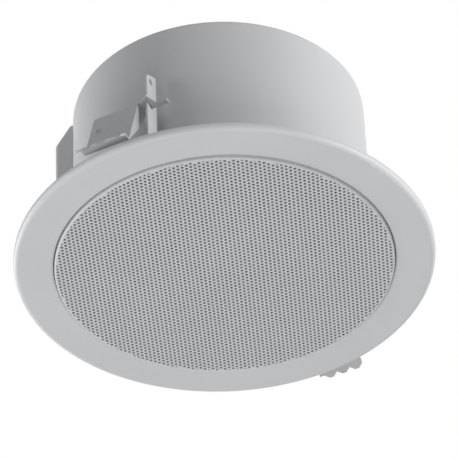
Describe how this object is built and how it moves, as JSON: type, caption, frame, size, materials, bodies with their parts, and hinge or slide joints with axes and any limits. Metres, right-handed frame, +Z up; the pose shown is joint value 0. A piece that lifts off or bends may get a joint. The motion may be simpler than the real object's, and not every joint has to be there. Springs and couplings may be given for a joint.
{
  "type": "in ceiling speaker",
  "caption": "Round flush ceiling loudspeaker with a perforated grille, a drawn steel back can, sliding toothed spring clamps and a line transformer.",
  "frame": {"origin": "centre of the flange's ceiling seat, the plane of its turned-up rim", "axes": "+Z up into the ceiling along the can's axis, -Y towards the picture's viewer"},
  "size_m": [0.22, 0.22, 0.1066],
  "materials": {
    "paint": "light grey powder coat",
    "zinc": "zinc plated",
    "spring_steel": "zinc plated spring steel",
    "cloth": "black woven",
    "rubber": "matt",
    "foam": "closed cell foam",
    "ceramic": "unglazed ceramic",
    "brass": "plain",
    "black_paint": "black enamel",
    "paper": "pressed paper",
    "copper": "enamelled copper wire",
    "spider_cloth": "resin-dipped cotton",
    "ferrite": "sintered ferrite",
    "lamination": "varnished laminations",
    "plastic": "moulded nylon"
  },
  "bodies": {
    "root": {"front_frame": "paint", "grille": "paint", "dust_cloth": "cloth", "back_can": "paint", "can_screws": "zinc", "terminal_housing": "paint", "housing_screws": "zinc", "cable_grommets": "rubber", "terminal_block": "ceramic", "terminal_tubes": "brass", "wire_screws": "zinc", "block_bolts": "zinc", "block_nuts": "zinc", "guide_bar_near": "zinc", "guide_bar_far": "zinc", "guide_rivets_near": "zinc", "guide_rivets_far": "zinc", "driver_gasket": "foam", "driver_basket": "black_paint", "driver_screws": "zinc", "surround": "rubber", "spider": "spider_cloth", "top_plate": "zinc", "magnet": "ferrite", "pole_plate": "zinc", "tag_strip": "paper", "solder_tags": "brass", "transformer_core": "lamination", "transformer_bobbin": "plastic", "transformer_winding": "copper", "transformer_bracket": "zinc", "transformer_screws": "zinc"},
    "clamp_near": {"clamp_near": "spring_steel"},
    "clamp_far": {"clamp_far": "spring_steel"},
    "cone": {"cone": "paper", "dust_cap": "paper", "coil_former": "paper", "voice_coil": "copper"}
  },
  "joints": [
    {"name": "clamp_near_slide", "type": "slide", "parent": "root", "child": "clamp_near", "axis": [0, 0, 1], "range_m": [0, 0.014]},
    {"name": "clamp_far_slide", "type": "slide", "parent": "root", "child": "clamp_far", "axis": [0, 0, 1], "range_m": [0, 0.014]},
    {"name": "cone_travel", "type": "slide", "parent": "root", "child": "cone", "axis": [0, 0, 1], "range_m": [-0.002, 0.002], "stiffness_N_per_m": 1500, "deforming": ["surround", "spider"]}
  ]
}
